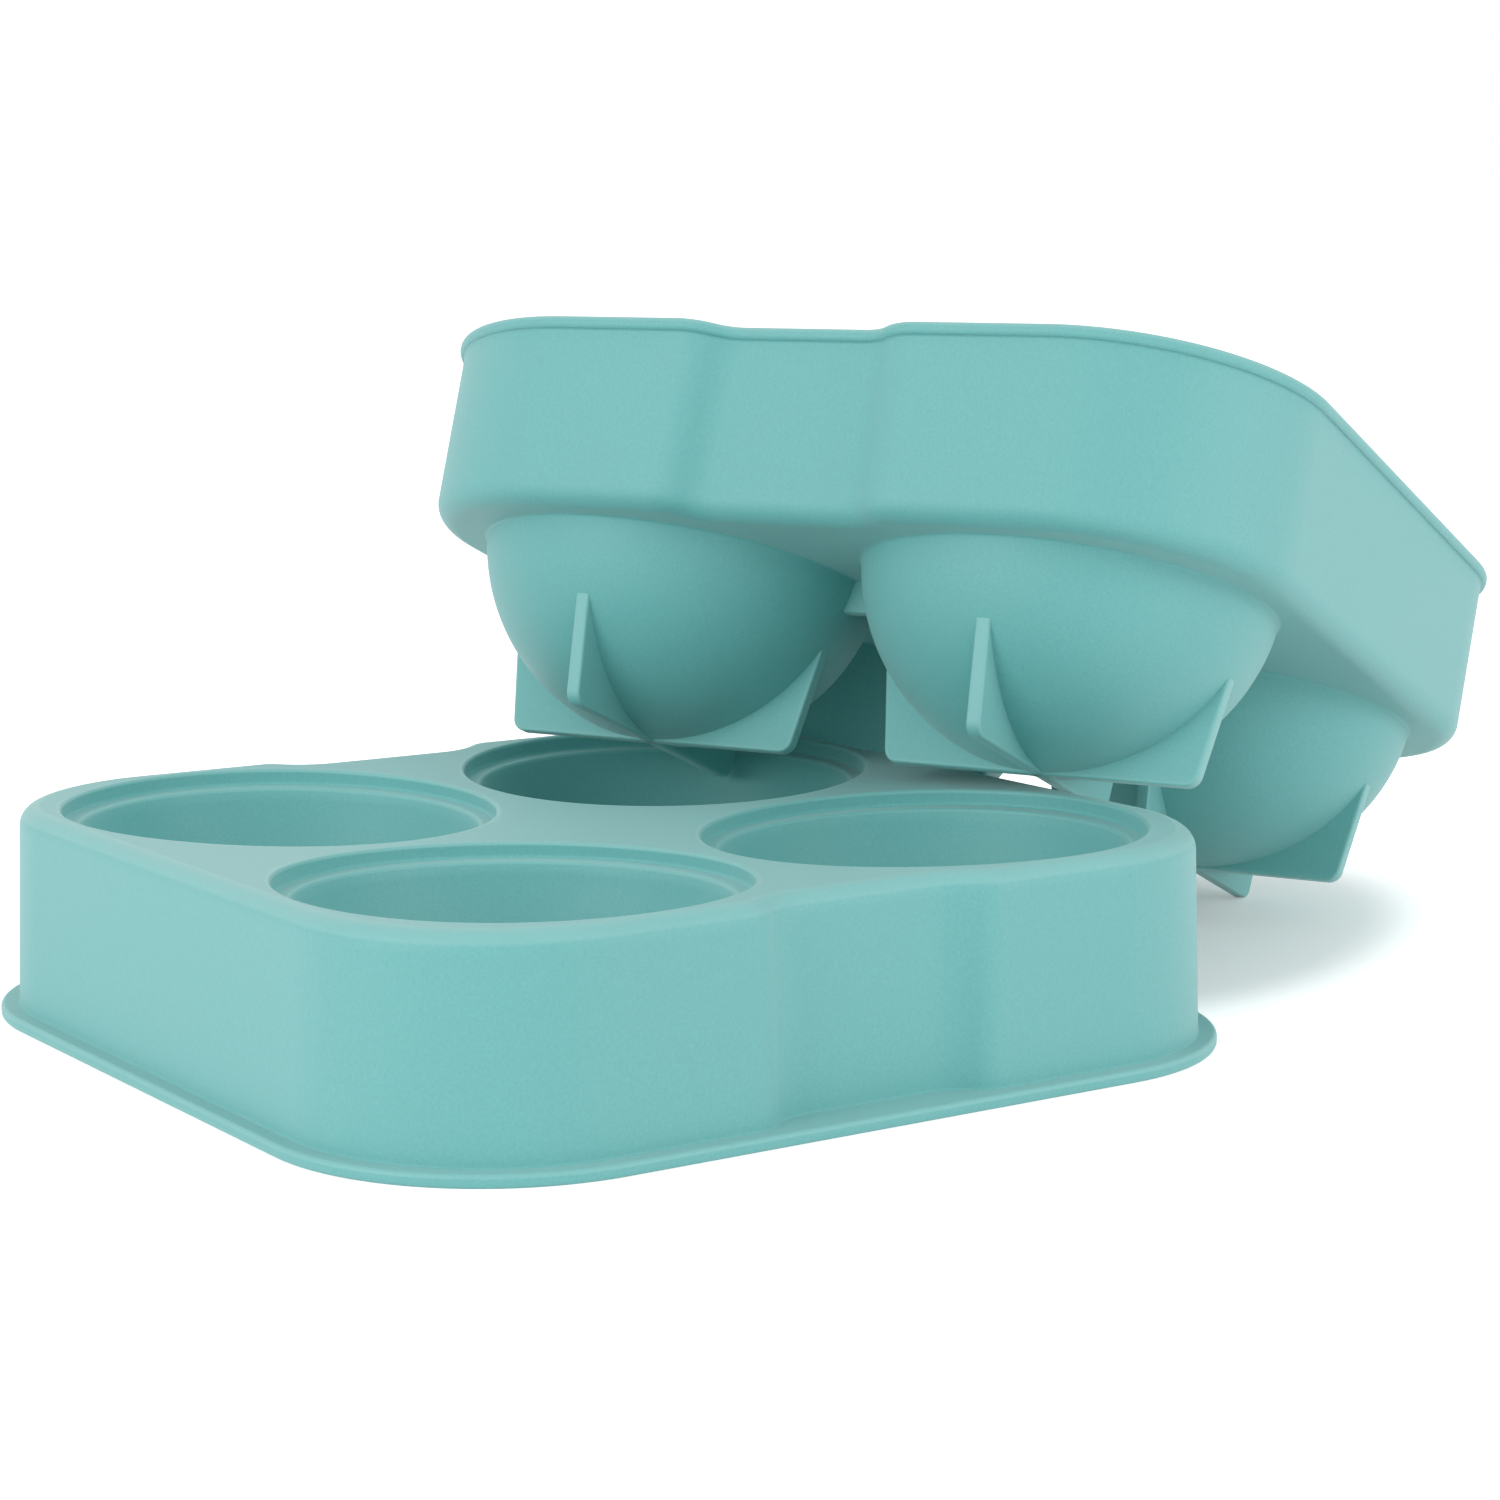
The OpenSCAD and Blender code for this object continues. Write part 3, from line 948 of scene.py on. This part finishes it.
def ring_of_copies():
    """A tree that sets copies of a mesh evenly on a ring, each turned with its place."""
    group = bpy.data.node_groups.new("ring_of_copies", "GeometryNodeTree")
    for name, kind in (
        ("Geometry", "NodeSocketGeometry"),
        ("Copies", "NodeSocketInt"),
        ("Ring Radius", "NodeSocketFloat"),
        ("First Angle", "NodeSocketFloat"),
        ("Material", "NodeSocketMaterial"),
    ):
        group.interface.new_socket(name, in_out="INPUT", socket_type=kind)
    group.interface.new_socket("Geometry", in_out="OUTPUT", socket_type="NodeSocketGeometry")
    tree = Tree(group)
    given = tree.node("NodeGroupInput").outputs
    radius = Value(tree, given["Ring Radius"])
    facing = tree.value("GeometryNodeInputIndex") * (math.tau / Value(tree, given["Copies"]))
    turn = facing + given["First Angle"]
    place = tree.node(
        "ShaderNodeCombineXYZ",
        None,
        {"X": radius * tree.math("COSINE", turn), "Y": radius * tree.math("SINE", turn)},
    ).outputs[0]
    places = tree.node(
        "GeometryNodePoints", None, {"Count": given["Copies"], "Position": place}
    ).outputs[0]
    turned = tree.node("ShaderNodeCombineXYZ", None, {"Z": facing}).outputs[0]
    copies = tree.node(
        "GeometryNodeInstanceOnPoints",
        None,
        {"Points": places, "Instance": given["Geometry"], "Rotation": turned},
    ).outputs[0]
    whole = tree.node("GeometryNodeRealizeInstances", None, {"Geometry": copies}).outputs[0]
    finished = tree.node(
        "GeometryNodeSetMaterial", None, {"Geometry": whole, "Material": given["Material"]}
    ).outputs[0]
    tree.node("NodeGroupOutput", None, {0: finished})
    return group


def ring_mesh(group, mesh, name, values):
    """The plain mesh that the ring tree makes from one mesh."""
    maker = bpy.data.objects.new(name, mesh)
    bpy.context.scene.collection.objects.link(maker)
    modifier = maker.modifiers.new("ring", "NODES")
    modifier.node_group = group
    for item in group.interface.items_tree:
        if item.item_type == "SOCKET" and item.in_out == "INPUT" and item.name in values:
            modifier[item.identifier] = values[item.name]
    bpy.context.view_layer.update()
    seen = maker.evaluated_get(bpy.context.evaluated_depsgraph_get())
    made = bpy.data.meshes.new_from_object(seen)
    made.name = name
    bpy.data.objects.remove(maker)
    return made


# Pieces

# Where each half lies in the pattern of its clouds and grain
LID_SHIFT = (0.0, 0.0, 0.0)
TRAY_SHIFT = (0.4, 0.1, 0.7)


def shown(name, mesh, material, body):
    """A finished piece at the origin that rides on a body."""
    mesh.materials.clear()
    mesh.materials.append(material)
    piece = bpy.data.objects.new(name, mesh)
    bpy.context.scene.collection.objects.link(piece)
    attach(piece, body)
    return piece


def resting(tray):
    """The tray's resting place, from level about its deck's middle."""
    return (
        Matrix.Translation(Vector(tray.place))
        @ Matrix.Rotation(tray.turn, 4, "Z")
        @ Matrix.Rotation(-tray.tilt, 4, "X")
    )


def named_material(name, look, shift):
    """The silicone of one half, made once."""
    return bpy.data.materials.get(name) or silicone(name, look, shift)


class MOLD_OT_lid(bpy.types.Operator):
    """Makes the lid half's soft skin in place of its solid"""

    bl_idname = "mold.lid"
    bl_label = "Lid half"

    def execute(self, context):
        scene = context.scene
        mesh = lid_skin(scene.mold_cavity, scene.mold_lid)
        finish = named_material("matte_lid_silicone", scene.mold_look, LID_SHIFT)
        piece = shown("lid_skin", mesh, finish, "lid")
        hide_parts("lid_half")
        return {"FINISHED"}


class MOLD_OT_tray(bpy.types.Operator):
    """Makes the base tray's soft skin in place of its solid"""

    bl_idname = "mold.tray"
    bl_label = "Base tray"

    def execute(self, context):
        scene = context.scene
        mesh = tray_skin(scene.mold_cavity, scene.mold_tray)
        mesh.transform(resting(scene.mold_tray))
        finish = named_material("matte_tray_silicone", scene.mold_look, TRAY_SHIFT)
        piece = shown("tray_skin", mesh, finish, "tray")
        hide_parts("base_tray")
        return {"FINISHED"}


class MOLD_OT_feet(bpy.types.Operator):
    """Sets the crossed feet under the tray's cups and the webs between the cups"""

    bl_idname = "mold.feet"
    bl_label = "Feet and webs"

    def execute(self, context):
        scene = context.scene
        sizes, tray, feet = scene.mold_cavity, scene.mold_tray, scene.mold_feet
        finish = named_material("matte_tray_silicone", scene.mold_look, TRAY_SHIFT)
        spacing = (sizes.ball_d + sizes.ball_gap) / 2
        group = ring_of_copies()
        pieces = (
            ("tray_feet", foot_cross(sizes, feet), spacing * math.sqrt(2), math.pi / 4),
            ("tray_webs", web_plate(sizes, tray, feet), spacing, 0.0),
        )
        for name, mesh, radius, first in pieces:
            values = {
                "Copies": feet.copies,
                "Ring Radius": radius,
                "First Angle": first,
                "Material": finish,
            }
            made = ring_mesh(group, mesh, name, values)
            made.transform(resting(tray))
            piece = shown(name, made, finish, "tray")
            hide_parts("base_tray")
        return {"FINISHED"}


class MOLD_OT_stage(bpy.types.Operator):
    """Sets the pale floor, the soft light and the camera"""

    bl_idname = "mold.stage"
    bl_label = "Stage"

    def execute(self, context):
        look = context.scene.mold_stage
        self.floor(context, look)
        self.dome(context, look)
        self.lamps(context, look)
        self.camera(context, look)
        context.scene.view_settings.view_transform = "Standard"
        return {"FINISHED"}

    def floor(self, context, look):
        """A plain floor that glows to white for the camera, apart from the shadow that it keeps."""
        half = look.floor_half
        mesh = bpy.data.meshes.new("floor")
        corners = [(-half, -half, 0), (half, -half, 0), (half, half, 0), (-half, half, 0)]
        mesh.from_pydata(corners, [], [(0, 1, 2, 3)])
        mesh.materials.append(self.paper(look))
        floor = bpy.data.objects.new("floor", mesh)
        context.scene.collection.objects.link(floor)

    def paper(self, look):
        """The floor's material."""
        material, tree = bare_material("floor_paper")
        where = tree.node("ShaderNodeTexCoord").outputs["Object"]
        tooth = tree.value(
            "ShaderNodeTexNoise", None, {"Vector": where, "Scale": look.tooth, "Detail": 2.0}
        )
        tone = tree.mix(tooth, with_alpha(look.floor_tone), with_alpha(look.tooth_tone))
        matte = tree.node("ShaderNodeBsdfDiffuse", None, {"Color": tone})
        about_heart = tree.node(
            "ShaderNodeMapping",
            {"vector_type": "TEXTURE"},
            {
                "Vector": where,
                "Location": look.heart,
                "Rotation": (0.0, 0.0, look.shadow_turn),
                "Scale": (*look.shadow_size, 1.0),
            },
        ).outputs[0]
        away = tree.value(
            "ShaderNodeVectorMath", {"operation": "LENGTH"}, {0: about_heart}, "Value"
        )
        glow = tree.value(
            "ShaderNodeMapRange",
            {"interpolation_type": "SMOOTHSTEP"},
            {
                "Value": away,
                "From Min": look.shadow_from,
                "From Max": look.shadow_to,
                "To Min": look.shadow_lift,
                "To Max": look.floor_lift,
            },
        )
        lift = tree.node("ShaderNodeEmission", None, {"Color": glow * background_rays(tree)})
        both = tree.node("ShaderNodeAddShader", None, {0: matte.outputs[0], 1: lift.outputs[0]})
        tree.node("ShaderNodeOutputMaterial", None, {"Surface": both.outputs[0]})
        return material

    def dome(self, context, look):
        """Even light all round, before a white background."""
        world = bpy.data.worlds.new("studio")
        world.use_nodes = True
        tree = Tree(world.node_tree)
        strength = tree.value(
            "ShaderNodeMapRange",
            None,
            {"Value": background_rays(tree), "To Min": look.dome, "To Max": 1.0},
        )
        white = with_alpha((1.0, 1.0, 1.0))
        sky = tree.node("ShaderNodeBackground", None, {"Color": white, "Strength": strength})
        tree.node("ShaderNodeOutputWorld", None, {"Surface": sky.outputs[0]})
        context.scene.world = world

    def lamps(self, context, look):
        """A large soft lamp on each side of the camera."""
        target = Vector(look.lamp_aim)
        for name, place, power in (
            ("left", look.left_spot, look.left),
            ("right", look.right_spot, look.right),
        ):
            lamp = bpy.data.lights.new(name, "AREA")
            lamp.shape, lamp.size, lamp.energy = "DISK", look.lamp_size, power
            holder = bpy.data.objects.new(name, lamp)
            holder.location = place
            holder.rotation_euler = (target - Vector(place)).to_track_quat("-Z", "Y").to_euler()
            context.scene.collection.objects.link(holder)

    def camera(self, context, look):
        """The photograph's view."""
        lens = bpy.data.cameras.new("photo_view")
        lens.lens, lens.sensor_width = look.lens, 36.0
        lens.clip_start, lens.clip_end = 0.01, 50.0
        eye = bpy.data.objects.new("photo_view", lens)
        eye.location = look.eye
        eye.rotation_euler = Vector(look.aim).to_track_quat("-Z", "Y").to_euler()
        context.scene.collection.objects.link(eye)
        context.scene.camera = eye


class MOLD_PT_panel(bpy.types.Panel):
    """Lists the steps that make the mold"""

    bl_label = "Ice Ball Mold"
    bl_space_type = "VIEW_3D"
    bl_region_type = "UI"
    bl_category = "Mold"

    def draw(self, context):
        for step in STEPS:
            self.layout.operator(step.bl_idname)


STEPS = (MOLD_OT_lid, MOLD_OT_tray, MOLD_OT_feet, MOLD_OT_stage)
GROUPS = {
    "mold_cavity": CavitySizes,
    "mold_lid": LidSizes,
    "mold_tray": TraySizes,
    "mold_feet": FootSizes,
    "mold_look": SiliconeLook,
    "mold_stage": StageLook,
}


def register():
    for group in GROUPS.values():
        bpy.utils.register_class(group)
    for cls in (*STEPS, MOLD_PT_panel):
        bpy.utils.register_class(cls)
    for name, group in GROUPS.items():
        setattr(bpy.types.Scene, name, PointerProperty(type=group))


def unregister():
    for name in GROUPS:
        delattr(bpy.types.Scene, name)
    for cls in (MOLD_PT_panel, *STEPS[::-1], *list(GROUPS.values())[::-1]):
        bpy.utils.unregister_class(cls)


def main():
    register()
    bpy.ops.mold.lid()
    bpy.ops.mold.tray()
    bpy.ops.mold.feet()
    bpy.ops.mold.stage()


if __name__ == "__main__":
    main()
